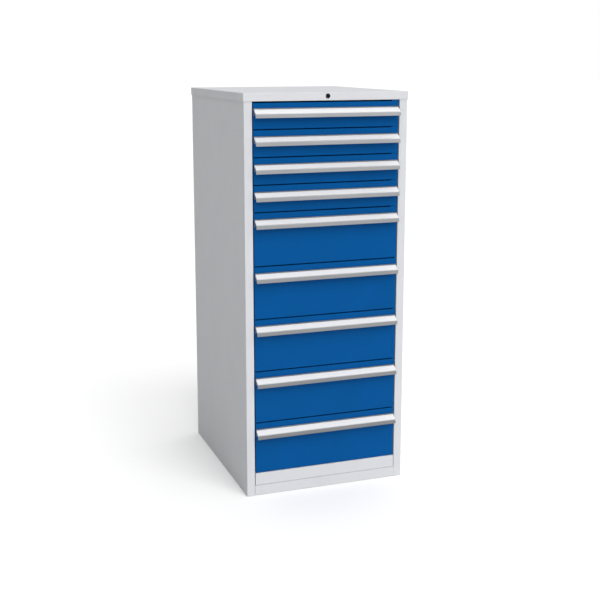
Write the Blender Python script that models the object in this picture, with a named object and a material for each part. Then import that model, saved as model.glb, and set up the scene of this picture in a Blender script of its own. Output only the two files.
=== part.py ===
"""Tall drawer cabinet: a folded sheet-steel housing, nine full-extension drawers and one central lock.

Sizes are metres. X runs across, Y from front to back and Z up, so the drawers open towards -Y.
Every piece is drawn in cabinet coordinates, where X = 0 is the middle, Y = 0 the front plane of the
posts and Z = 0 the floor. The empty "cabinet" carries that frame to the middle of the footprint.
"""

import math

import bmesh
import bpy
from mathutils import Matrix, Vector

# Housing
BODY_WIDTH = 0.640
BODY_DEPTH = 0.750
SHEET = 0.0015
POST_WIDTH = 0.0315
POST_DEPTH = 0.030
POST_LIP = 0.015
BACK_LIP = 0.020
BASE_RAIL_HEIGHT = 0.040
BASE_RAIL_DEPTH = 0.045
BLANK_HEIGHT = 0.050
BLANK_RETURN = 0.025
BLANK_SIDE_GAP = 0.002
BLANK_EDGE_GAP = 0.001
CAP_HEIGHT = 0.030
CAP_OVERHANG = 0.0025
TOUCH = 0.0003  # air kept between two pieces that rest on each other

# Drawers, from the top one down
DRAWER_PITCHES = (0.100,) * 4 + (0.200,) * 5
FRONT_SIDE_GAP = 0.004
FRONT_TOP_GAP = 0.003
FRONT_FOOT_GAP = 0.001
CAP_GAP = 0.006
FRONT_RECESS = 0.001
FRONT_RETURN = 0.018
HEM_HEIGHT = 0.012
EAR_LENGTH = 0.062
EAR_ABOVE = 0.003
EAR_BELOW = 0.004
TRAY_SHEET = 0.0012
TRAY_REAR_GAP = 0.096
TRAY_FOOT_GAP = 0.008
TRAY_TOP_GAP = 0.012
STRIP_INSET = 0.004
CATCH_HEIGHT = 0.006
CATCH_THICKNESS = 0.003
CATCH_SETBACK = 0.037
CATCH_POST_GAP = 0.0025

# Handle: one extruded section across the whole front, hooked over the fingers
HANDLE_REACH = 0.028  # in front of the posts
HANDLE_DROP = 0.025  # from the top of the drawer's pitch
HANDLE_HEIGHT = 0.0336
HANDLE_NECK = 0.003
HANDLE_SHOULDER = 0.004
HANDLE_BROW_INSET = 0.004
HANDLE_BROW_DROP = 0.0194
HANDLE_BROW_RADIUS = 0.004
HANDLE_FLANGE = 0.027
HANDLE_WALL = 0.0025
HANDLE_END_INSET = 0.0015

# Runners: a fixed rail on the rack, a middle rail, and two strips on the drawer's side
RAIL_FOOT_GAP = 0.003  # above the tray's floor
RAIL_HEIGHT = 0.034
RAIL_WALL = 0.002
RAIL_PLAY = 0.001
RAIL_GRIP = 0.0062
RAIL_START = 0.050
RAIL_END_GAP = 0.060
MID_WIDTH = 0.0145
MID_END_GAP = 0.040
MID_WEB = 0.003
MID_FLANGE = 0.004
UPRIGHT_WIDTH = 0.050
UPRIGHT_INSET = 0.010
RACK_END_GAP = 0.002
BRACKET_WIDTH = 0.036
BRACKET_THICKNESS = 0.003

# Lock
LOCK_RISE = 0.016  # axis, above the lower edge of the cap
LOCK_RING_RADIUS = 0.0085
LOCK_RING_THICKNESS = 0.002
LOCK_BARREL_RADIUS = 0.007
LOCK_BARREL_LENGTH = 0.020
LOCK_CORE_RADIUS = 0.0055
LOCK_CORE_STEP = 0.0015
KEYWAY_WIDTH = 0.0016
KEYWAY_HEIGHT = 0.0070
KEYWAY_DEPTH = 0.0060
CAM_RADIUS = 0.010
CAM_THICKNESS = 0.0025
CAM_PIN_RADIUS = 0.002
CAM_PIN_TAIL = 0.0025
LOCK_BAR_LIFT = 0.010
LOCK_BAR_THICKNESS = 0.003
LOCK_BAR_WIDTH = 0.016
LOCK_BAR_GAP = 0.0005
LOCK_BAR_WALL_GAP = 0.0065
LOCK_ARM_HEIGHT = 0.012
LOCK_ARM_OVERRUN = 0.006
PIN_SLOT_PLAY = 0.0004
FINGER_RAIL_GAP = 0.002
FINGER_HEIGHT = 0.006
FINGER_CLEARANCE = 0.005  # under the catch while the lock is open
FINGER_TRAY_GAP = 0.006

# Worked out from the sizes above
HALF_WIDTH = BODY_WIDTH / 2
OPENING_HALF = HALF_WIDTH - POST_WIDTH
STACK_FOOT = BASE_RAIL_HEIGHT + BLANK_HEIGHT
STACK_TOP = STACK_FOOT + sum(DRAWER_PITCHES)
BODY_HEIGHT = STACK_TOP + CAP_HEIGHT
WALL_TOP = BODY_HEIGHT - SHEET - TOUCH
FLOOR_TOP = BASE_RAIL_HEIGHT + TOUCH + SHEET
FRONT_HALF = OPENING_HALF - FRONT_SIDE_GAP
HANDLE_HALF = FRONT_HALF - HANDLE_END_INSET
MID_OUTER = OPENING_HALF - RAIL_PLAY
MID_INNER = MID_OUTER - MID_WIDTH
TRAY_HALF = MID_INNER - RAIL_PLAY - RAIL_WALL
TRAY_START = FRONT_RECESS + 2 * SHEET + TOUCH
TRAY_END = BODY_DEPTH - TRAY_REAR_GAP
RAIL_END = BODY_DEPTH - RAIL_END_GAP
WEB_INNER = MID_OUTER + RAIL_PLAY
MID_END = RAIL_END - MID_END_GAP

# Levels above the foot of a drawer's pitch
RAIL_LEVEL = TRAY_FOOT_GAP + RAIL_FOOT_GAP + RAIL_HEIGHT / 2
FINGER_LEVEL = RAIL_LEVEL + RAIL_HEIGHT / 2 + FINGER_RAIL_GAP
CATCH_LEVEL = FINGER_LEVEL + FINGER_HEIGHT + FINGER_CLEARANCE

LOCK_LEVEL = STACK_TOP + LOCK_RISE
LOCK_BORE = LOCK_CORE_RADIUS + TOUCH
LOCK_BAR_START = POST_DEPTH + LOCK_BAR_GAP
CAM_START = LOCK_BARREL_LENGTH + LOCK_CORE_STEP + TOUCH
PIN_OFFSET = LOCK_BAR_LIFT / 2  # beside and below the axis, so a quarter turn lifts it by the full lift
FRAME_SHIFT = (HANDLE_REACH - BODY_DEPTH - CAP_OVERHANG) / 2

ROUND_STEPS = 32


def clear_scene():
    for item in list(bpy.data.objects):
        bpy.data.objects.remove(item)


def paint(name, colour, roughness, metallic):
    material = bpy.data.materials.new(name)
    material.use_nodes = True
    shader = material.node_tree.nodes["Principled BSDF"]
    shader.inputs["Base Color"].default_value = (*colour, 1.0)
    shader.inputs["Roughness"].default_value = roughness
    shader.inputs["Metallic"].default_value = metallic
    return material


def finished(bm):
    """The bmesh as a mesh with its faces pointing out."""
    bmesh.ops.recalc_face_normals(bm, faces=bm.faces)
    mesh = bpy.data.meshes.new("solid")
    bm.to_mesh(mesh)
    bm.free()
    return mesh


def extruded(outline, axis, low, high):
    """A closed outline, given in the other two axes, pushed along one axis from low to high."""
    along = "XYZ".index(axis)
    across = [index for index in range(3) if index != along]
    bm = bmesh.new()
    corners = []
    for pair in outline:
        point = Vector((low, low, low))
        point[across[0]], point[across[1]] = pair
        corners.append(bm.verts.new(point))
    made = bmesh.ops.extrude_face_region(bm, geom=[bm.faces.new(corners)])
    moved = [item for item in made["geom"] if isinstance(item, bmesh.types.BMVert)]
    shift = Vector((0.0, 0.0, 0.0))
    shift[along] = high - low
    bmesh.ops.translate(bm, verts=moved, vec=shift)
    return finished(bm)


def block(low, high):
    """A rectangular solid between two corners."""
    low, high = Vector(low), Vector(high)
    bm = bmesh.new()
    bmesh.ops.create_cube(bm, size=1.0)
    bmesh.ops.scale(bm, verts=bm.verts, vec=high - low)
    bmesh.ops.translate(bm, verts=bm.verts, vec=(low + high) / 2)
    return finished(bm)


def rod(radius, start, end, x, z):
    """A round solid along Y."""
    bm = bmesh.new()
    bmesh.ops.create_cone(
        bm, cap_ends=True, segments=ROUND_STEPS, radius1=radius, radius2=radius, depth=end - start
    )
    bmesh.ops.rotate(bm, verts=bm.verts, matrix=Matrix.Rotation(math.pi / 2, 3, "X"))
    bmesh.ops.translate(bm, verts=bm.verts, vec=(x, (start + end) / 2, z))
    return finished(bm)


def folded(skin, wall):
    """The closed outline of sheet bent along a line of points, with its thickness on the left of the line."""
    count = len(skin)
    points = [Vector(pair) for pair in skin]
    lefts = []
    for before, after in zip(points, points[1:]):
        run = (after - before).normalized()
        lefts.append(Vector((-run.y, run.x)))
    inner = []
    for index, point in enumerate(points):
        first = lefts[max(index - 1, 0)]
        second = lefts[min(index, count - 2)]
        inner.append(point + (first + second) * wall / (1 + first.dot(second)))
    return [tuple(point) for point in points + inner[::-1]]


def rounded(before, corner, after, radius, steps=4):
    """Points of an arc that rounds one corner of an outline."""
    before, corner, after = Vector(before), Vector(corner), Vector(after)
    back, ahead = (before - corner).normalized(), (after - corner).normalized()
    half = back.angle(ahead) / 2
    centre = corner + (back + ahead).normalized() * radius / math.sin(half)
    start = corner + back * radius / math.tan(half) - centre
    sweep = start.angle_signed(corner + ahead * radius / math.tan(half) - centre)
    turns = [Matrix.Rotation(-sweep * step / steps, 2) @ start for step in range(steps + 1)]
    return [tuple(centre + turn) for turn in turns]


def combined(base, others, operation):
    """One mesh from several, by exact Booleans."""
    scene = bpy.context.scene.collection
    made = [bpy.data.objects.new("shape", mesh) for mesh in (base, *others)]
    for item in made:
        scene.objects.link(item)
    for other in made[1:]:
        boolean = made[0].modifiers.new(operation, "BOOLEAN")
        boolean.operation = operation
        boolean.solver = "EXACT"
        boolean.object = other
    graph = bpy.context.evaluated_depsgraph_get()
    mesh = bpy.data.meshes.new_from_object(made[0].evaluated_get(graph))
    for item in made:
        bpy.data.objects.remove(item)
    return mesh


def joined(base, *others):
    return combined(base, others, "UNION")


def cut(base, *cutters):
    return combined(base, cutters, "DIFFERENCE")


def mirrored(mesh):
    """A copy on the other side of X = 0."""
    bm = bmesh.new()
    bm.from_mesh(mesh)
    bmesh.ops.scale(bm, verts=bm.verts, vec=(-1.0, 1.0, 1.0))
    return finished(bm)


def empty(name, parent=None, place=(0.0, 0.0, 0.0)):
    item = bpy.data.objects.new(name, None)
    bpy.context.scene.collection.objects.link(item)
    item.parent = parent
    item.location = place
    return item


def add(name, mesh, material, parent, smooth=False):
    """A named piece that hangs on an empty. The mesh is in cabinet coordinates, so the empty's place comes off."""
    piece = bpy.data.objects.new(name, mesh)
    bpy.context.scene.collection.objects.link(piece)
    mesh.name = name
    mesh.materials.clear()
    mesh.materials.append(material)
    piece.parent = parent
    if parent.parent:
        mesh.transform(Matrix.Translation(-parent.location))
    if smooth:
        mesh.shade_smooth()
        mesh.set_sharp_from_angle(angle=math.radians(35))
    return piece


def side_wall():
    """The right-hand wall: post, side and rear lip are one folded sheet. Its outline is seen from above."""
    skin = [
        (OPENING_HALF + POST_LIP, POST_DEPTH),
        (OPENING_HALF, POST_DEPTH),
        (OPENING_HALF, 0.0),
        (HALF_WIDTH, 0.0),
        (HALF_WIDTH, BODY_DEPTH),
        (HALF_WIDTH - BACK_LIP, BODY_DEPTH),
    ]
    return extruded(folded(skin, SHEET), "Z", 0.0, WALL_TOP)


def channel(half_length, start, end, foot, top):
    """A folded channel across the cabinet. Its back is at start and its two flanges reach to end."""
    skin = [(end, foot), (start, foot), (start, top), (end, top)]
    wall = math.copysign(SHEET, start - end)
    return extruded(folded(skin, wall), "X", -half_length, half_length)


def top_cap():
    """A shallow lid with a skirt on all four sides, and a hole in its front for the lock."""
    half = HALF_WIDTH + CAP_OVERHANG
    outside = block((-half, -CAP_OVERHANG, STACK_TOP), (half, BODY_DEPTH + CAP_OVERHANG, BODY_HEIGHT))
    inset = half - SHEET
    hollow = block(
        (-inset, SHEET - CAP_OVERHANG, STACK_TOP - SHEET),
        (inset, BODY_DEPTH + CAP_OVERHANG - SHEET, BODY_HEIGHT - SHEET),
    )
    hole = rod(LOCK_BARREL_RADIUS + TOUCH, -2 * CAP_OVERHANG, POST_DEPTH, 0.0, LOCK_LEVEL)
    return cut(outside, hollow, hole)


def build_housing(cabinet, grey):
    wall = side_wall()
    add("side_wall_left", mirrored(wall), grey, cabinet)
    add("side_wall_right", wall, grey, cabinet)
    inner_half = HALF_WIDTH - SHEET - TOUCH
    back_face = BODY_DEPTH - SHEET - TOUCH
    back = block((-inner_half, back_face - SHEET, 0.0), (inner_half, back_face, WALL_TOP))
    add("back_panel", back, grey, cabinet)
    front_rail = channel(OPENING_HALF - TOUCH, 0.0, BASE_RAIL_DEPTH, 0.0, BASE_RAIL_HEIGHT)
    add("base_rail_front", front_rail, grey, cabinet)
    rear_face = back_face - SHEET - TOUCH
    rear_rail = channel(inner_half, rear_face, rear_face - BASE_RAIL_DEPTH, 0.0, BASE_RAIL_HEIGHT)
    add("base_rail_rear", rear_rail, grey, cabinet)
    floor_start = POST_DEPTH + TOUCH
    floor = block((-inner_half, floor_start, FLOOR_TOP - SHEET), (inner_half, rear_face, FLOOR_TOP))
    add("floor_plate", floor, grey, cabinet)
    blank_half = OPENING_HALF - BLANK_SIDE_GAP
    blank_foot, blank_top = BASE_RAIL_HEIGHT + BLANK_EDGE_GAP, STACK_FOOT - BLANK_EDGE_GAP
    blank = channel(blank_half, 0.0, BLANK_RETURN, blank_foot, blank_top)
    add("blank_panel", blank, grey, cabinet)
    add("top_cap", top_cap(), grey, cabinet)


def runner_rack(feet):
    """The right-hand rack: two uprights on the side wall, with a fixed rail on brackets for each drawer."""
    wall_face = HALF_WIDTH - SHEET - TOUCH
    rack_foot, rack_top = FLOOR_TOP + RACK_END_GAP, STACK_TOP - RACK_END_GAP
    starts = (RAIL_START + UPRIGHT_INSET, RAIL_END - UPRIGHT_INSET - UPRIGHT_WIDTH)
    pieces = []
    for start in starts:
        low = (wall_face - SHEET, start, rack_foot)
        pieces.append(block(low, (wall_face, start + UPRIGHT_WIDTH, rack_top)))
    for foot in feet:
        centre = foot + RAIL_LEVEL
        low, high = centre - RAIL_HEIGHT / 2, centre + RAIL_HEIGHT / 2
        lip, web = MID_OUTER - RAIL_GRIP, WEB_INNER + RAIL_WALL
        skin = [(lip, low), (web, low), (web, high), (lip, high)]
        pieces.append(extruded(folded(skin, RAIL_WALL), "Y", RAIL_START, RAIL_END))
        for start in starts:
            margin = (UPRIGHT_WIDTH - BRACKET_WIDTH) / 2
            near = (WEB_INNER + RAIL_WALL / 2, start + margin, centre - BRACKET_THICKNESS / 2)
            far = (wall_face - SHEET / 2, start + margin + BRACKET_WIDTH, centre + BRACKET_THICKNESS / 2)
            pieces.append(block(near, far))
    return joined(*pieces)


def middle_rail(centre):
    """The right-hand middle rail of one drawer: an I-section that runs inside the fixed rail."""
    half = RAIL_HEIGHT / 2 - RAIL_WALL - RAIL_PLAY
    neck = half - MID_FLANGE
    web_inner = (MID_INNER + MID_OUTER - MID_WEB) / 2
    web_outer = web_inner + MID_WEB
    right = [(MID_OUTER, half), (MID_OUTER, neck), (web_outer, neck)]
    left = [(MID_INNER, half), (MID_INNER, neck), (web_inner, neck)]
    upper = left[::-1] + right
    lower = [(x, -z) for x, z in upper[::-1]]
    outline = [(x, centre + z) for x, z in upper + lower]
    return extruded(outline, "Y", RAIL_START, MID_END)


def drawer_front(foot, top):
    """A folded front: plate, side and bottom returns, a hemmed top edge and an ear at each top corner."""
    half, inner = FRONT_HALF, FRONT_HALF - SHEET
    start, end, ear_end = FRONT_RECESS, FRONT_RECESS + FRONT_RETURN, FRONT_RECESS + EAR_LENGTH
    outside = block((-half, start, foot), (half, ear_end, top + EAR_ABOVE))
    beyond = 2 * ear_end
    above = top + 2 * EAR_ABOVE
    hollow = [
        (start + SHEET, foot + SHEET),
        (beyond, foot + SHEET),
        (beyond, above),
        (-beyond, above),
        (-beyond, top),
        (start + 2 * SHEET, top),
        (start + 2 * SHEET, top - HEM_HEIGHT),
        (start + SHEET, top - HEM_HEIGHT),
    ]
    behind = block((-2 * half, end, foot - HEM_HEIGHT), (2 * half, beyond, top - EAR_BELOW))
    return cut(outside, extruded(hollow, "X", -inner, inner), behind)


def drawer_tray(foot, height):
    """An open sheet-steel tray with two runner strips on each side and a lock catch on the right."""
    low, high = foot + TRAY_FOOT_GAP, foot + height - TRAY_TOP_GAP
    outside = block((-TRAY_HALF, TRAY_START, low), (TRAY_HALF, TRAY_END, high))
    inner = TRAY_HALF - TRAY_SHEET
    hollow_low = (-inner, TRAY_START + TRAY_SHEET, low + TRAY_SHEET)
    hollow = block(hollow_low, (inner, TRAY_END - TRAY_SHEET, high + TRAY_TOP_GAP))
    root = TRAY_HALF - TRAY_SHEET / 2
    additions = []
    for side in (-1, 1):
        near, far = sorted((side * root, side * (MID_INNER + RAIL_GRIP)))
        for edge in (-RAIL_HEIGHT / 2, RAIL_HEIGHT / 2 - RAIL_WALL):
            level = foot + RAIL_LEVEL + edge
            strip_low = (near, TRAY_START + STRIP_INSET, level)
            additions.append(block(strip_low, (far, TRAY_END - STRIP_INSET, level + RAIL_WALL)))
    catch_low = (root, CATCH_SETBACK, foot + CATCH_LEVEL)
    catch_high = (
        OPENING_HALF - CATCH_POST_GAP,
        CATCH_SETBACK + CATCH_THICKNESS,
        foot + CATCH_LEVEL + CATCH_HEIGHT,
    )
    additions.append(block(catch_low, catch_high))
    return joined(cut(outside, hollow), *additions)


def drawer_handle(top):
    """The handle: a flange on the front, a sloping brow, and a steep lip that the fingers hook behind."""
    face = FRONT_RECESS - TOUCH
    neck, tip = face - HANDLE_NECK, -HANDLE_REACH
    shoulder = (neck, top - HANDLE_SHOULDER)
    brow = (tip + HANDLE_BROW_INSET, top - HANDLE_BROW_DROP)
    lip = (tip, top - HANDLE_HEIGHT)
    shell = folded([shoulder, *rounded(shoulder, brow, lip, HANDLE_BROW_RADIUS), lip], HANDLE_WALL)
    slope = math.atan2(shoulder[1] - brow[1], shoulder[0] - brow[0])
    armpit = (neck, shoulder[1] - HANDLE_WALL / math.cos(slope))
    foot = top - HANDLE_FLANGE
    outline = [(face, top), (neck, top), *shell[:-1], armpit, (neck, foot), (face, foot)]
    return extruded(outline, "X", -HANDLE_HALF, HANDLE_HALF)


def build_drawer(number, foot, height, cabinet, finishes):
    """One drawer with its two middle rails. Drawer 1 is the top one."""
    name = f"drawer_{number}"
    slide = empty(f"{name}_slide", cabinet, (0.0, FRONT_RECESS, foot))
    top_gap = CAP_GAP if number == 1 else FRONT_TOP_GAP
    front = drawer_front(foot + FRONT_FOOT_GAP, foot + height - top_gap)
    add(f"{name}_front", front, finishes["blue"], slide)
    add(f"{name}_tray", drawer_tray(foot, height), finishes["blue"], slide)
    handle = drawer_handle(foot + height - HANDLE_DROP)
    add(f"{name}_handle", handle, finishes["aluminium"], slide)
    rails = empty(f"{name}_rails", cabinet, (0.0, RAIL_START, foot + RAIL_LEVEL))
    rail = middle_rail(foot + RAIL_LEVEL)
    add(f"rail_{number}_left", mirrored(rail), finishes["zinc"], rails)
    add(f"rail_{number}_right", rail, finishes["zinc"], rails)


def lock_barrel():
    """The fixed barrel: a ring in front of the cap, a shank through it, and a bore for the core."""
    face = -CAP_OVERHANG - TOUCH
    front = face - LOCK_RING_THICKNESS
    ring = rod(LOCK_RING_RADIUS, front, face, 0.0, LOCK_LEVEL)
    shank = rod(LOCK_BARREL_RADIUS, face - LOCK_RING_THICKNESS / 2, LOCK_BARREL_LENGTH, 0.0, LOCK_LEVEL)
    bore = rod(LOCK_BORE, front - LOCK_RING_THICKNESS, 2 * LOCK_BARREL_LENGTH, 0.0, LOCK_LEVEL)
    return cut(joined(ring, shank), bore)


def lock_core():
    """The turning core, with its keyway upright while the lock is open."""
    front = -CAP_OVERHANG - TOUCH - LOCK_RING_THICKNESS
    core = rod(LOCK_CORE_RADIUS, front, LOCK_BARREL_LENGTH + LOCK_CORE_STEP, 0.0, LOCK_LEVEL)
    low = (-KEYWAY_WIDTH / 2, front - KEYWAY_DEPTH, LOCK_LEVEL - KEYWAY_HEIGHT / 2)
    high = (KEYWAY_WIDTH / 2, front + KEYWAY_DEPTH, LOCK_LEVEL + KEYWAY_HEIGHT / 2)
    return cut(core, block(low, high))


def lock_cam():
    """The disc on the core's tail, with the pin that lifts the lock bar."""
    disc = rod(CAM_RADIUS, CAM_START, CAM_START + CAM_THICKNESS, 0.0, LOCK_LEVEL)
    tail = LOCK_BAR_START + LOCK_BAR_THICKNESS + CAM_PIN_TAIL
    start = CAM_START + CAM_THICKNESS / 2
    return joined(disc, rod(CAM_PIN_RADIUS, start, tail, -PIN_OFFSET, LOCK_LEVEL - PIN_OFFSET))


def lock_bar(feet):
    """The flat bar behind the right post: an arm over to the lock, and a finger under each drawer's catch."""
    level = LOCK_LEVEL - PIN_OFFSET
    far = HALF_WIDTH - SHEET - LOCK_BAR_WALL_GAP
    near, tip = far - LOCK_BAR_WIDTH, TRAY_HALF + FINGER_TRAY_GAP
    reach = math.hypot(PIN_OFFSET, PIN_OFFSET)
    slot_half = CAM_PIN_RADIUS + PIN_SLOT_PLAY
    slot_low, slot_high = -reach - slot_half, -PIN_OFFSET + slot_half
    arm_low, arm_high = level - LOCK_ARM_HEIGHT / 2, level + LOCK_ARM_HEIGHT / 2
    outline = [(far, arm_high), (slot_low - LOCK_ARM_OVERRUN, arm_high)]
    outline += [(slot_low - LOCK_ARM_OVERRUN, arm_low), (near, arm_low)]
    for foot in feet:
        finger_low = foot + FINGER_LEVEL
        finger_top = finger_low + FINGER_HEIGHT
        outline += [(near, finger_top), (tip, finger_top), (tip, finger_low), (near, finger_low)]
    end = finger_low - LOCK_BAR_WIDTH / 2
    outline += [(near, end), (far, end)]
    start, stop = LOCK_BAR_START, LOCK_BAR_START + LOCK_BAR_THICKNESS
    slot = block((slot_low, start / 2, level - slot_half), (slot_high, 2 * stop, level + slot_half))
    return cut(extruded(outline, "Y", start, stop), slot)


def build_lock(cabinet, feet, black, zinc):
    add("lock_barrel", lock_barrel(), black, cabinet, smooth=True)
    turn = empty("lock_turn", cabinet, (0.0, 0.0, LOCK_LEVEL))
    add("lock_core", lock_core(), zinc, turn, smooth=True)
    add("lock_cam", lock_cam(), zinc, turn, smooth=True)
    lift = empty("lock_bar_lift", cabinet, (HALF_WIDTH, LOCK_BAR_START, LOCK_LEVEL))
    add("lock_bar", lock_bar(feet), zinc, lift)


def main():
    clear_scene()
    finishes = {
        "grey": paint("light_grey_powder_coat", (0.68, 0.68, 0.69), 0.45, 0.0),
        "blue": paint("blue_powder_coat", (0.003, 0.085, 0.30), 0.42, 0.0),
        "aluminium": paint("anodised_aluminium", (0.80, 0.81, 0.82), 0.32, 1.0),
        "zinc": paint("zinc_plated_steel", (0.62, 0.63, 0.64), 0.35, 1.0),
        "black": paint("black_lock_enamel", (0.012, 0.012, 0.013), 0.35, 0.0),
    }
    cabinet = empty("cabinet", place=(0.0, FRAME_SHIFT, 0.0))
    build_housing(cabinet, finishes["grey"])
    feet = []
    level = STACK_TOP
    for number, pitch in enumerate(DRAWER_PITCHES, start=1):
        level -= pitch
        feet.append(level)
        build_drawer(number, level, pitch, cabinet, finishes)
    rack = runner_rack(feet)
    add("runner_rack_left", mirrored(rack), finishes["zinc"], cabinet)
    add("runner_rack_right", rack, finishes["zinc"], cabinet)
    build_lock(cabinet, feet, finishes["black"], finishes["zinc"])


main()
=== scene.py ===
"""Tall drawer cabinet: light grey housing, nine blue drawers with aluminium handle strips, one lock.

Metres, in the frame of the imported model: X across, Y from front to back, Z up from the floor.
"""

import math

import bmesh
import bpy
from mathutils import Matrix, Vector


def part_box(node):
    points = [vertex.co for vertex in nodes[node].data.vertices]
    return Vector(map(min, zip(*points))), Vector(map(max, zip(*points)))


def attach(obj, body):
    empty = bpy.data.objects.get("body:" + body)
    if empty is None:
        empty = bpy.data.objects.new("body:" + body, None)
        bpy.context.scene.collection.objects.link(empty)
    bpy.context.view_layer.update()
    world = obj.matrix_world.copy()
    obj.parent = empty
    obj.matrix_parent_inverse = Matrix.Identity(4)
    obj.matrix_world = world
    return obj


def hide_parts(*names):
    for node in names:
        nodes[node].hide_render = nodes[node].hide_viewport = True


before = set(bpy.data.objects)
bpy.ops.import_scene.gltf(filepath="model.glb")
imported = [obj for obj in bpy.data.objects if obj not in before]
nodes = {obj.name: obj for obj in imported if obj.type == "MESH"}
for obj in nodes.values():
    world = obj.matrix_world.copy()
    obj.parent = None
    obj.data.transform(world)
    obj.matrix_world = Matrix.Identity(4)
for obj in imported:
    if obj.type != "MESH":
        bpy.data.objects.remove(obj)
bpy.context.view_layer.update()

DRAWERS = range(1, 10)
SIDES = {"left": -1, "right": 1}
TRAY_SHEET = 0.0012
TRAY_HALF = 0.270

# ---------------------------------------------------------------- colours and finishes


def linear(code, alpha=1.0):
    """A hex colour as it looks on a screen, turned into the linear values that the shaders use."""
    channels = [int(code[index : index + 2], 16) / 255 for index in (1, 3, 5)]
    return (*[c / 12.92 if c <= 0.04045 else ((c + 0.055) / 1.055) ** 2.4 for c in channels], alpha)


def add_node(tree, kind, inputs=None, **settings):
    """Adds one node: settings are its own properties, inputs are numbers, colours or nodes' outputs."""
    made = tree.nodes.new("ShaderNode" + kind)
    for name, value in settings.items():
        setattr(made, name, value)
    for socket, value in (inputs or {}).items():
        if isinstance(value, bpy.types.NodeSocket):
            tree.links.new(value, made.inputs[socket])
        else:
            made.inputs[socket].default_value = value
    return made


def new_finish(name):
    """An empty material, its node tree, and the piece's own coordinates in metres."""
    material = bpy.data.materials.new(name)
    material.use_nodes = True
    tree = material.node_tree
    tree.nodes.clear()
    return material, tree, add_node(tree, "TexCoord").outputs["Object"]


def close_finish(tree, shader):
    add_node(tree, "OutputMaterial", {"Surface": shader.outputs["BSDF"]})


def noise(tree, place, size, detail=2.0, roughness=0.5, stretch=(1.0, 1.0, 1.0)):
    """A cloudy pattern whose patches are about size metres across, drawn out along an axis by stretch."""
    scaled = add_node(tree, "Mapping", {"Vector": place, "Scale": [1 / (size * part) for part in stretch]})
    made = add_node(
        tree,
        "TexNoise",
        {"Vector": scaled.outputs["Vector"], "Scale": 1.0, "Detail": detail, "Roughness": roughness},
    )
    return made.outputs["Fac"]


def spread(tree, value, low, high, start=0.3, end=0.7):
    """A pattern's values, taken to lie between low and high."""
    made = add_node(
        tree, "MapRange", {"Value": value, "From Min": start, "From Max": end, "To Min": low, "To Max": high}
    )
    return made.outputs["Result"]


def blend_colour(tree, factor, first, second):
    made = add_node(tree, "Mix", {0: factor, 6: first, 7: second}, data_type="RGBA")
    return made.outputs[2]


def powder_coat(name, colour, thin, specular, rough):
    """Polyester powder baked on steel sheet: a satin film with orange peel, which flows a little uneven."""
    material, tree, place = new_finish(name)
    # Orange peel is about 2 mm from crest to crest. The second pattern is drawn at 9 mm, so that it shows.
    peel = noise(tree, place, 0.0021, detail=1.0)
    ripple = noise(tree, place, 0.009, detail=1.5)
    # The film is a little thicker in places, about a hand's width across, and sheet waviness is broader.
    film = noise(tree, place, 0.11, detail=3.0)
    wave = noise(tree, place, 0.35, detail=1.0)
    both = add_node(tree, "Math", {0: peel, 1: ripple}, operation="ADD")
    waved = add_node(tree, "Bump", {"Height": wave, "Strength": 0.12, "Distance": 0.0012})
    bump = add_node(
        tree,
        "Bump",
        {
            "Height": both.outputs["Value"],
            "Strength": 0.10,
            "Distance": 0.0002,
            "Normal": waved.outputs["Normal"],
        },
    )
    shader = add_node(
        tree,
        "BsdfPrincipled",
        {
            "Base Color": blend_colour(tree, spread(tree, film, 0.0, 1.0), linear(colour), linear(thin)),
            "Roughness": spread(tree, ripple, rough - 0.04, rough + 0.05),
            "Specular IOR Level": specular,
            "Normal": bump.outputs["Normal"],
        },
    )
    close_finish(tree, shader)
    return material


def anodised_aluminium():
    """Extruded aluminium, etched and clear anodised: a satin metal with fine die lines along its length."""
    material, tree, place = new_finish("anodised_aluminium")
    # Die lines are about 0.3 mm apart, drawn at 1.2 mm so that they show. They run the length of the handle.
    lines = noise(tree, place, 0.0012, detail=2.0, stretch=(220.0, 1.0, 1.0))
    etched = noise(tree, place, 0.0008, detail=1.0)
    cloud = noise(tree, place, 0.05, detail=2.0, stretch=(4.0, 1.0, 1.0))
    bump = add_node(tree, "Bump", {"Height": lines, "Strength": 0.12, "Distance": 0.0001})
    fine = add_node(
        tree,
        "Bump",
        {"Height": etched, "Strength": 0.08, "Distance": 0.00005, "Normal": bump.outputs["Normal"]},
    )
    shader = add_node(
        tree,
        "BsdfPrincipled",
        {
            "Base Color": blend_colour(
                tree, spread(tree, cloud, 0.0, 1.0), linear("#E9EAEC"), linear("#DEE0E3")
            ),
            "Roughness": spread(tree, lines, 0.30, 0.40),
            "Metallic": 1.0,
            "Normal": fine.outputs["Normal"],
        },
    )
    close_finish(tree, shader)
    return material


def zinc_plate():
    """Cold-rolled steel, zinc plated and passivated: bluish, a little yellow in patches, rolling lines."""
    material, tree, place = new_finish("zinc_plated_steel")
    patch = noise(tree, place, 0.030, detail=3.0)
    # Rolling lines are under 0.2 mm apart, drawn at 1 mm so that they show.
    rolled = noise(tree, place, 0.001, detail=2.0, stretch=(1.0, 60.0, 1.0))
    bump = add_node(tree, "Bump", {"Height": rolled, "Strength": 0.10, "Distance": 0.0001})
    shader = add_node(
        tree,
        "BsdfPrincipled",
        {
            "Base Color": blend_colour(
                tree, spread(tree, patch, 0.0, 1.0), linear("#C3C8CE"), linear("#CACAC5")
            ),
            "Roughness": spread(tree, rolled, 0.30, 0.46),
            "Metallic": 1.0,
            "Normal": bump.outputs["Normal"],
        },
    )
    close_finish(tree, shader)
    return material


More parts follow.
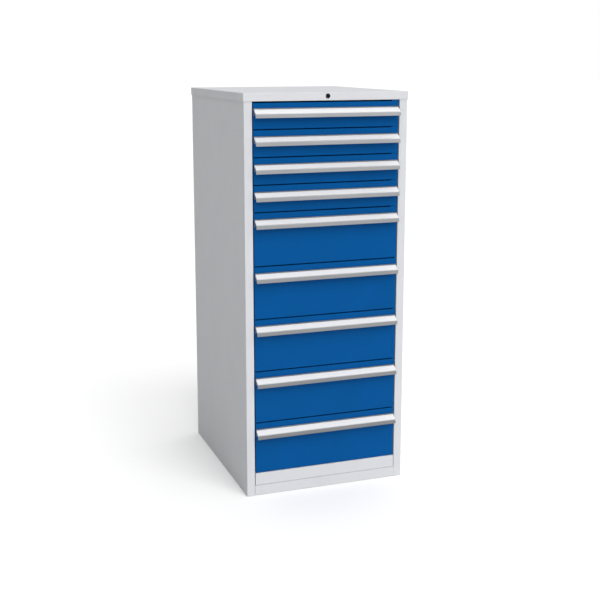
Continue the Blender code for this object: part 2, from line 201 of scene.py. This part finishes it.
def turned_metal(name, colour, worn, rough):
    """Small plated or enamelled turnings: even, with fine scratches from keys and fingers."""
    material, tree, place = new_finish(name)
    scratch = noise(tree, place, 0.0015, detail=4.0, roughness=0.7)
    bump = add_node(tree, "Bump", {"Height": scratch, "Strength": 0.08, "Distance": 0.0001})
    shader = add_node(
        tree,
        "BsdfPrincipled",
        {
            "Base Color": blend_colour(
                tree, spread(tree, scratch, 0.0, 1.0, 0.5, 0.75), linear(colour), linear(worn)
            ),
            "Roughness": spread(tree, scratch, rough - 0.05, rough + 0.08),
            "Metallic": 1.0,
            "Normal": bump.outputs["Normal"],
        },
    )
    close_finish(tree, shader)
    return material


def black_plastic(name, colour, rough):
    """Moulded nylon or enamel, nearly black, with a fine spark-eroded grain."""
    material, tree, place = new_finish(name)
    grain = noise(tree, place, 0.0007, detail=2.0)
    bump = add_node(tree, "Bump", {"Height": grain, "Strength": 0.15, "Distance": 0.0001})
    shader = add_node(
        tree,
        "BsdfPrincipled",
        {
            "Base Color": linear(colour),
            "Roughness": spread(tree, grain, rough - 0.05, rough + 0.08),
            "Specular IOR Level": 0.4,
            "Normal": bump.outputs["Normal"],
        },
    )
    close_finish(tree, shader)
    return material


def label_card():
    """Blank label card under clear PVC film: matte white fibres, seen through a thin gloss."""
    material, tree, place = new_finish("label_card_under_film")
    # Paper fibre clumps are about 0.5 mm, drawn at 3 mm so that they show.
    fibre = noise(tree, place, 0.003, detail=3.0, roughness=0.6)
    bump = add_node(tree, "Bump", {"Height": fibre, "Strength": 0.06, "Distance": 0.0001})
    shader = add_node(
        tree,
        "BsdfPrincipled",
        {
            "Base Color": blend_colour(
                tree, spread(tree, fibre, 0.0, 1.0), linear("#E3E3E4"), linear("#DCDDDE")
            ),
            "Roughness": spread(tree, fibre, 0.32, 0.42),
            "Specular IOR Level": 0.35,
            "Normal": bump.outputs["Normal"],
        },
    )
    close_finish(tree, shader)
    return material


GREY = powder_coat("light_grey_powder_coat", "#CACBCE", "#C8C9CD", 0.30, 0.46)
BLUE = powder_coat("gentian_blue_powder_coat", "#004E8E", "#004C89", 0.06, 0.44)
ALUMINIUM = anodised_aluminium()
ZINC = zinc_plate()
LABEL = label_card()
RIVET = turned_metal("bright_rivet_steel", "#BFC1C4", "#A9ABAE", 0.34)
NICKEL = turned_metal("dark_nickel_plate", "#4A4B4E", "#77787A", 0.30)
ENAMEL = black_plastic("black_lock_enamel", "#101012", 0.30)
NYLON = black_plastic("black_nylon", "#17181A", 0.50)

# ---------------------------------------------------------------- shapes


def shell_of(node):
    """A copy of a CAD node as one clean shell, with its flat faces whole."""
    bm = bmesh.new()
    bm.from_mesh(nodes[node].data)
    bmesh.ops.remove_doubles(bm, verts=bm.verts, dist=1e-5)
    bmesh.ops.dissolve_limit(bm, angle_limit=math.radians(0.5), verts=bm.verts, edges=bm.edges)
    return bm


def is_wide(face, least=0.003):
    """False for the narrow faces that are the cut edge of a sheet."""
    around = sum(edge.calc_length() for edge in face.edges)
    return 2 * face.calc_area() / around > least


def corner_edges(bm, keep, steepest=25):
    """The edges where the surface turns sharply and keep(edge, turn) is true.

    turn is positive outside a fold.
    """
    picked = []
    for edge in bm.edges:
        if len(edge.link_faces) != 2:
            continue
        turn = edge.calc_face_angle_signed(0.0)
        if abs(turn) > math.radians(steepest) and keep(edge, turn):
            picked.append(edge)
    return picked


def bevel(bm, edges, width, segments):
    if edges:
        bmesh.ops.bevel(
            bm,
            geom=edges,
            offset=width,
            segments=segments,
            profile=0.5,
            affect="EDGES",
            material=-1,
            clamp_overlap=True,
        )


def fold_and_deburr(bm, outside, inside, rim):
    """Rounds the folds of a sheet outside and inside, and takes the burr off its cut edges."""

    def fold(edge):
        return all(is_wide(face) for face in edge.link_faces)

    bevel(bm, corner_edges(bm, lambda edge, turn: turn > 0 and fold(edge)), outside, 4)
    bevel(bm, corner_edges(bm, lambda edge, turn: turn < 0 and fold(edge)), inside, 2)
    bevel(bm, corner_edges(bm, lambda edge, turn: turn > 0, 50), rim, 2)


def piece(name, bm, material, body, sharp=35, new=True):
    """A finished piece from a bmesh: it gets its finish, rides on a body and keeps its flat faces flat."""
    bmesh.ops.dissolve_degenerate(bm, dist=2e-6, edges=bm.edges)
    if new:
        bmesh.ops.recalc_face_normals(bm, faces=bm.faces)
    mesh = bpy.data.meshes.new(name)
    bm.to_mesh(mesh)
    bm.free()
    mesh.materials.append(material)
    mesh.shade_smooth()
    mesh.set_sharp_from_angle(angle=math.radians(sharp))
    made = bpy.data.objects.new(name, mesh)
    bpy.context.scene.collection.objects.link(made)
    weighted = made.modifiers.new("flat faces stay flat", "WEIGHTED_NORMAL")
    weighted.keep_sharp = True
    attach(made, body)
    return made


def refined(node, material, body, outside=0.0020, inside=0.0006, rim=0.00025):
    """The CAD node's own shape with its folds rounded and its edges broken, in its place."""
    bm = shell_of(node)
    fold_and_deburr(bm, outside, inside, rim)
    made = piece(f"{node}_finished", bm, material, body, new=False)
    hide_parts(node)
    return made


def cuboid(low, high, bm=None):
    """A closed block between two corners, on its own or beside what a bmesh already holds."""
    bm = bm or bmesh.new()
    low, high = Vector(low), Vector(high)
    made = bmesh.ops.create_cube(bm, size=1.0)["verts"]
    bmesh.ops.scale(bm, verts=made, vec=high - low)
    bmesh.ops.translate(bm, verts=made, vec=(low + high) / 2)
    return bm


def long_profile(outline, start, end):
    """A bar along Y from a closed outline of (x, z) points."""
    bm = bmesh.new()
    face = bm.faces.new([bm.verts.new((x, start, z)) for x, z in outline])
    made = bmesh.ops.extrude_face_region(bm, geom=[face])
    moved = [item for item in made["geom"] if isinstance(item, bmesh.types.BMVert)]
    bmesh.ops.translate(bm, verts=moved, vec=(0.0, end - start, 0.0))
    return bm


def dome_heads(places, radius, rise, out):
    """Rivet heads: one low dome at each place, standing out along a direction."""
    bm = bmesh.new()
    turn = Vector((0.0, 0.0, 1.0)).rotation_difference(Vector(out)).to_matrix()
    for place in places:
        made = bmesh.ops.create_uvsphere(bm, u_segments=16, v_segments=8, radius=radius)["verts"]
        bmesh.ops.scale(bm, verts=made, vec=(1.0, 1.0, rise / radius))
        bmesh.ops.rotate(bm, verts=made, matrix=turn)
        bmesh.ops.translate(bm, verts=made, vec=place)
    return bm


# ---------------------------------------------------------------- housing

for name in ("side_wall_left", "side_wall_right", "base_rail_front", "base_rail_rear", "blank_panel"):
    refined(name, GREY, "cabinet")
refined("back_panel", GREY, "cabinet", outside=0.0003)
refined("floor_plate", GREY, "cabinet", outside=0.0003)
refined("top_cap", GREY, "cabinet", outside=0.0022)
for side in SIDES:
    refined(f"runner_rack_{side}", ZINC, "cabinet", outside=0.0012, inside=0.0004, rim=0.0002)

POST_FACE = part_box("side_wall_left")[0].y
BACK_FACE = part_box("side_wall_left")[1].y
WALL_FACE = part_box("side_wall_right")[1].x
RIVET_RADIUS = 0.0038
RIVET_RISE = 0.0014
LIP_RIVET_INSET = 0.010
LIP_RIVET_FOOT = 0.075
LIP_RIVET_PITCH = 0.195
LIP_RIVETS = 8
RAIL_RIVET_LEVEL = 0.020
RAIL_RIVET_PITCH = 0.125


def back_rivets():
    """Blind rivets: through the rear lips into the back panel, and through it into the rear base rail."""
    places = []
    for side in SIDES.values():
        for step in range(LIP_RIVETS):
            level = LIP_RIVET_FOOT + LIP_RIVET_PITCH * step
            places.append((side * (WALL_FACE - LIP_RIVET_INSET), BACK_FACE, level))
    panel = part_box("back_panel")[1].y
    for step in range(-2, 3):
        places.append((RAIL_RIVET_PITCH * step, panel, RAIL_RIVET_LEVEL))
    bm = dome_heads(places, RIVET_RADIUS, RIVET_RISE, (0.0, 1.0, 0.0))
    piece("back_rivets", bm, RIVET, "cabinet")


back_rivets()

# ---------------------------------------------------------------- lock

refined("lock_barrel", ENAMEL, "cabinet", outside=0.0005, rim=0.0004)
refined("lock_core", NICKEL, "lock_core", outside=0.0003, rim=0.0002)
refined("lock_cam", ZINC, "lock_core", outside=0.0003, rim=0.0002)
refined("lock_bar", ZINC, "lock_bar", outside=0.0003, rim=0.0002)

# ---------------------------------------------------------------- drawers

SLOT_WIDTH = 0.0035
SLOT_PITCH = 0.017
SLOT_MARGIN = 0.038  # from the tray's ends
SLOT_FOOT = 0.045  # above the tray's underside, clear of the runner
SLOT_TOP_GAP = 0.012
SLOT_HEIGHT = 0.050  # in a tall tray, which has two rows
TALL_TRAY = 0.12
TRAY_HEM = 0.006
TRAY_FOLD = 0.002
NEAR = 1e-4
RUNNER_EDGE = 0.2792
RUNNER_LOW = 0.003  # lower strip, above the tray's floor
RUNNER_HIGH = 0.037  # top of the upper strip
RUNNER_WALL = 0.002
RUNNER_WEB = 0.0012
RUNNER_GAP = 0.0001
RUNNER_END_GAP = 0.004
CATCH_REACH = 0.286
CATCH_SETBACK = 0.037
CATCH_THICK = 0.003
CATCH_LEVELS = (0.050, 0.056)
CATCH_PLATE = (0.0015, 0.023)  # thick and long
CATCH_PLATE_LEVELS = (0.048, 0.060)
FRONT_RIVETS = (-0.22, -0.075, 0.075, 0.22)
FRONT_RIVET_LEVEL = 0.055
LONG_TAB = 0.026
SHORT_TAB = 0.008
TAB_GAP = 0.0004
TAB_DEPTHS = (0.0014, 0.0029)  # behind the posts' face
TAB_DROP = 0.004
TAB_RISE = {1: 0.0050}
USUAL_TAB_RISE = 0.0033
EAR_RISE = 0.003
BROKEN_EDGE = 0.0003


def sides_of(bm):
    return [face for face in bm.faces if abs(face.normal.x) > 0.9 and face.calc_area() > 1e-7]


def slice_sides(bm, axis, level):
    """Cuts the tray's two side walls along a plane, and leaves its other walls whole."""
    faces = sides_of(bm)
    around = {edge for face in faces for edge in face.edges}
    corners = {vert for face in faces for vert in face.verts}
    normal = Vector((0.0, 0.0, 0.0))
    normal[axis] = 1.0
    sliced = [*faces, *around, *corners]
    bmesh.ops.bisect_plane(bm, geom=sliced, plane_co=normal * level, plane_no=normal, dist=1e-6)


def slotted_tray(number):
    """The folded tray: slots for dividers in its side walls, and a rim folded in and down."""
    low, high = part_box(f"drawer_{number}_tray")
    bm = cuboid((-TRAY_HALF, low.y, low.z), (TRAY_HALF, high.y, high.z))
    bmesh.ops.delete(bm, geom=[face for face in bm.faces if face.normal.z > 0.9], context="FACES_ONLY")
    folds = [edge for edge in bm.edges if len(edge.link_faces) == 2]
    bevel(bm, folds, TRAY_FOLD, 3)
    tall = high.z - low.z
    foot, top = low.z + SLOT_FOOT, high.z - SLOT_TOP_GAP
    rows = [(foot, top)]
    if tall > TALL_TRAY:
        rows = [(foot, foot + SLOT_HEIGHT), (top - SLOT_HEIGHT, top)]
    count = int((high.y - low.y - 2 * SLOT_MARGIN) / SLOT_PITCH)
    centres = [low.y + SLOT_MARGIN + SLOT_PITCH * step for step in range(count + 1)]
    for centre in centres:
        slice_sides(bm, 1, centre - SLOT_WIDTH / 2)
        slice_sides(bm, 1, centre + SLOT_WIDTH / 2)
    for row in rows:
        slice_sides(bm, 2, row[0])
        slice_sides(bm, 2, row[1])
    open_faces = []
    for face in sides_of(bm):
        middle = face.calc_center_median()
        across = any(abs(middle.y - centre) < SLOT_WIDTH / 2 for centre in centres)
        if across and any(row[0] < middle.z < row[1] for row in rows):
            open_faces.append(face)
    bmesh.ops.delete(bm, geom=open_faces, context="FACES_ONLY")
    for step, drop in ((TRAY_HEM, 0.0), (0.0, TRAY_HEM)):
        inset = TRAY_HEM if drop else 0.0
        rim = [edge for edge in bm.edges if edge.is_boundary and on_rim(edge, high, inset)]
        made = bmesh.ops.extrude_edge_only(bm, edges=rim)["geom"]
        for vert in (item for item in made if isinstance(item, bmesh.types.BMVert)):
            if step and abs(vert.co.x) > TRAY_HALF - NEAR:
                vert.co.x -= math.copysign(step, vert.co.x)
            if step and vert.co.y < low.y + NEAR:
                vert.co.y += step
            if step and vert.co.y > high.y - NEAR:
                vert.co.y -= step
            vert.co.z -= drop
    bmesh.ops.recalc_face_normals(bm, faces=bm.faces)
    floor = max(bm.faces, key=lambda face: face.calc_area())
    if floor.normal.z > 0:
        bmesh.ops.reverse_faces(bm, faces=bm.faces)
    body = f"drawer_{number}"
    made = piece(f"{body}_slotted_tray", bm, BLUE, body, new=False)
    wall = made.modifiers.new("sheet", "SOLIDIFY")
    wall.thickness = TRAY_SHEET
    wall.offset = -1.0
    wall.use_even_offset = True
    made.modifiers.move(1, 0)
    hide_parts(f"{body}_tray")


RIM_REACH = 0.0025  # the corner's fold and a little more
RIM_FRONT = -0.35  # the front wall's edges all lie before this


def on_rim(edge, high, inset):
    """True for the free edges along the tray's top, or for those of its hem once it is folded in."""
    if any(abs(vert.co.z - high.z) > 1e-5 for vert in edge.verts):
        return False
    middle = (edge.verts[0].co + edge.verts[1].co) / 2
    rear = abs(middle.y - (high.y - inset)) <= RIM_REACH
    return abs(middle.x) > TRAY_HALF - inset - RIM_REACH or rear or middle.y <= RIM_FRONT


def runners_of(number):
    """A tray's C-shaped runners, its catch for the lock bar, and its front's rivets and corner tab."""
    body = f"drawer_{number}"
    low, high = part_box(f"{body}_tray")
    for side, sign in SIDES.items():
        near, far = TRAY_HALF + RUNNER_GAP, RUNNER_EDGE
        web = near + RUNNER_WEB
        foot, top = low.z + RUNNER_LOW, low.z + RUNNER_HIGH
        lower, upper = foot + RUNNER_WALL, top - RUNNER_WALL
        outline = [
            (near, foot),
            (far, foot),
            (far, lower),
            (web, lower),
            (web, upper),
            (far, upper),
            (far, top),
            (near, top),
        ]
        sided = [(sign * x, z) for x, z in outline]
        bm = long_profile(sided, low.y + RUNNER_END_GAP, high.y - RUNNER_END_GAP)
        bevel(bm, corner_edges(bm, lambda edge, turn: turn > 0), BROKEN_EDGE, 1)
        piece(f"{body}_runner_{side}", bm, ZINC, body)
    start = POST_FACE + CATCH_SETBACK
    lower, upper = (low.z + level for level in CATCH_LEVELS)
    catch = cuboid((TRAY_HALF, start, lower), (CATCH_REACH, start + CATCH_THICK, upper))
    thick, long = CATCH_PLATE
    lower, upper = (low.z + level for level in CATCH_PLATE_LEVELS)
    cuboid((TRAY_HALF, start, lower), (TRAY_HALF + thick, start + long, upper), catch)
    bevel(catch, list(catch.edges), BROKEN_EDGE, 1)
    piece(f"{body}_catch", catch, ZINC, body)
    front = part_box(f"{body}_front")
    inner = low.y + TRAY_SHEET
    places = [(x, inner, low.z + FRONT_RIVET_LEVEL) for x in FRONT_RIVETS]
    rivets = dome_heads(places, RIVET_RADIUS, RIVET_RISE, (0.0, 1.0, 0.0))
    piece(f"{body}_front_rivets", rivets, RIVET, body)
    length = LONG_TAB if number < 6 else SHORT_TAB
    edge = front[1].x - TAB_GAP
    top = front[1].z - EAR_RISE
    before, behind = (POST_FACE + depth for depth in TAB_DEPTHS)
    rise = TAB_RISE.get(number, USUAL_TAB_RISE)
    tab = cuboid((edge - length, before, top - TAB_DROP), (edge, behind, top + rise))
    bevel(tab, list(tab.edges), BROKEN_EDGE, 1)
    piece(f"{body}_corner_tab", tab, BLUE, body)


HANDLE_NECK = 0.003
HANDLE_SHOULDER = 0.004
HANDLE_BROW = (0.004, 0.0194)  # back from the tip, and down from the top
LABEL_EDGE = 0.0008
LABEL_NOSE_GAP = 0.001
LABEL_SEAT = 0.00005
LABEL_THICK = 0.0005


def label_strip(number):
    """The blank label strip on the handle's sloping brow."""
    low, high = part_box(f"drawer_{number}_handle")
    shoulder = Vector((0.0, high.y - HANDLE_NECK, high.z - HANDLE_SHOULDER))
    brow = Vector((0.0, low.y + HANDLE_BROW[0], high.z - HANDLE_BROW[1]))
    down = (brow - shoulder).normalized()
    across = Vector((-1.0, 0.0, 0.0))
    turn = Matrix((across, down, across.cross(down))).transposed()
    half = high.x - LABEL_EDGE
    end = (brow - shoulder).length - LABEL_EDGE - LABEL_NOSE_GAP
    bm = cuboid((-half, LABEL_EDGE, LABEL_SEAT), (half, end, LABEL_THICK))
    bevel(bm, list(bm.edges), 0.0002, 1)
    bmesh.ops.rotate(bm, verts=bm.verts, matrix=turn)
    bmesh.ops.translate(bm, verts=bm.verts, vec=shoulder)
    piece(f"drawer_{number}_label_strip", bm, LABEL, f"drawer_{number}")


CAGE_DEPTHS = (0.0036, 0.0046)  # out from the rail's inner face
CAGE_HALF = 0.0065
CAGE_ENDS = (0.020, 0.010)
BALL_RADIUS = 0.0022
BALL_ROW = 0.0040
BALL_START = 0.035
BALL_PITCH = 0.0255
BALLS = 22
BUFFER_DEPTHS = (0.0006, 0.0054)
BUFFER_HALF = 0.0085
BUFFER_LENGTH = 0.014


def rail_fittings(number, side, sign):
    """A ball cage along the middle rail's inner channel, and a nylon buffer at its front end."""
    body = f"rails_{number}"
    low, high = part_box(f"rail_{number}_{side}")
    inner = min(abs(low.x), abs(high.x))
    centre = (low.z + high.z) / 2
    near, far = (sign * (inner + depth) for depth in CAGE_DEPTHS)
    start, end = low.y + CAGE_ENDS[0], high.y - CAGE_ENDS[1]
    cage = cuboid((near, start, centre - CAGE_HALF), (far, end, centre + CAGE_HALF))
    piece(f"rail_{number}_{side}_cage", cage, RIVET, body)
    balls = bmesh.new()
    for row in (-BALL_ROW, BALL_ROW):
        for step in range(BALLS):
            place = (sign * (inner + BALL_ROW), low.y + BALL_START + BALL_PITCH * step, centre + row)
            made = bmesh.ops.create_icosphere(balls, subdivisions=1, radius=BALL_RADIUS)["verts"]
            bmesh.ops.translate(balls, verts=made, vec=place)
    piece(f"rail_{number}_{side}_balls", balls, RIVET, body, sharp=60)
    near, far = (sign * (inner + depth) for depth in BUFFER_DEPTHS)
    buffer = cuboid((near, low.y, centre - BUFFER_HALF), (far, low.y + BUFFER_LENGTH, centre + BUFFER_HALF))
    bevel(buffer, list(buffer.edges), 0.0008, 2)
    piece(f"rail_{number}_{side}_buffer", buffer, NYLON, body)


for number in DRAWERS:
    body = f"drawer_{number}"
    refined(f"{body}_front", BLUE, body, outside=0.0010, inside=0.0004, rim=0.0002)
    slotted_tray(number)
    runners_of(number)
    refined(f"{body}_handle", ALUMINIUM, body, outside=0.0006, inside=0.0006, rim=0.0004)
    label_strip(number)
    for side, sign in SIDES.items():
        refined(f"rail_{number}_{side}", ZINC, f"rails_{number}", outside=0.0008, rim=0.0003)
        rail_fittings(number, side, sign)

# ---------------------------------------------------------------- floor, light and camera


def studio():
    """A pale floor, a soft dome that is brightest overhead, a broad key, and a soft box above."""
    bm = bmesh.new()
    bmesh.ops.create_grid(bm, x_segments=1, y_segments=1, size=60.0)
    bmesh.ops.translate(bm, verts=bm.verts, vec=(0.0, 0.0, -0.0005))
    mesh = bpy.data.meshes.new("studio_floor")
    bm.to_mesh(mesh)
    bm.free()
    material, tree, _ = new_finish("pale_floor")
    shader = add_node(
        tree,
        "BsdfPrincipled",
        {"Base Color": linear("#FCFCFC"), "Roughness": 0.9, "Specular IOR Level": 0.1},
    )
    close_finish(tree, shader)
    mesh.materials.append(material)
    floor = bpy.data.objects.new("studio_floor", mesh)
    bpy.context.scene.collection.objects.link(floor)
    floor.visible_glossy = False  # the metal mirrors a dark studio below the dome's rim

    world = bpy.data.worlds.new("studio")
    bpy.context.scene.world = world
    world.use_nodes = True
    tree = world.node_tree
    tree.nodes.clear()
    split = add_node(tree, "SeparateXYZ", {"Vector": add_node(tree, "TexCoord").outputs["Generated"]})
    rise = add_node(tree, "Math", {0: split.outputs["Z"], 1: 0.0}, operation="MAXIMUM")
    dome = add_node(tree, "Math", {0: rise.outputs["Value"], 1: 0.97, 2: 0.03}, operation="MULTIPLY_ADD")
    parts = {0: split.outputs["X"], 1: 0.35, 2: dome.outputs["Value"]}
    tilt = add_node(tree, "Math", parts, operation="MULTIPLY_ADD")
    # Behind the object the dome is a little brighter, so that its back and its sides don't look the same.
    behind = add_node(tree, "Math", {0: split.outputs["Y"], 1: 0.0}, operation="MAXIMUM")
    parts = {0: behind.outputs["Value"], 1: 0.18, 2: tilt.outputs["Value"]}
    lift = add_node(tree, "Math", parts, operation="MULTIPLY_ADD")
    dome = add_node(tree, "Math", {0: lift.outputs["Value"], 1: 0.14}, operation="MAXIMUM")
    lit = add_node(tree, "Background", {"Color": (1.0, 1.0, 1.0, 1.0), "Strength": dome.outputs["Value"]})
    seen = add_node(tree, "Background", {"Color": (1.0, 1.0, 1.0, 1.0), "Strength": 1.0})
    rays = add_node(tree, "LightPath")
    mixed = add_node(
        tree,
        "MixShader",
        {0: rays.outputs["Is Camera Ray"], 1: lit.outputs["Background"], 2: seen.outputs["Background"]},
    )
    add_node(tree, "OutputWorld", {"Surface": mixed.outputs["Shader"]})

    # The key is broad and even, like a bank of boxes over the camera.
    # Metal mirrors the dome and the overhead box.
    data = bpy.data.lights.new("key_bank", "SUN")
    data.energy = 2.0
    data.angle = math.radians(60)
    key = bpy.data.objects.new("key_bank", data)
    key.rotation_euler = Vector((-0.06, 0.76, -0.65)).to_track_quat("-Z", "Y").to_euler()
    key.visible_glossy = False
    bpy.context.scene.collection.objects.link(key)

    data = bpy.data.lights.new("overhead_box", "AREA")
    data.shape = "SQUARE"
    data.size = 2.2
    data.energy = 11.0
    place = Vector((1.3, 0.2, 4.6))
    overhead = bpy.data.objects.new("overhead_box", data)
    overhead.location = place
    overhead.rotation_euler = (Vector((0.0, -0.2, 1.0)) - place).to_track_quat("-Z", "Y").to_euler()
    bpy.context.scene.collection.objects.link(overhead)


def camera():
    """Left of the front and a little above, at the angle of a catalogue view."""
    yaw, pitch = math.radians(19.754), math.radians(10.903)
    data = bpy.data.cameras.new("catalogue_camera")
    data.sensor_width = 36.0
    data.lens = 63.80
    data.shift_y = -0.0633
    made = bpy.data.objects.new("catalogue_camera", data)
    made.location = (-1.4186, -4.0141, 1.6443)
    ahead = Vector((math.sin(yaw) * math.cos(pitch), math.cos(yaw) * math.cos(pitch), -math.sin(pitch)))
    made.rotation_euler = ahead.to_track_quat("-Z", "Y").to_euler()
    bpy.context.scene.collection.objects.link(made)
    bpy.context.scene.camera = made


studio()
camera()
bpy.context.scene.view_settings.view_transform = "Standard"
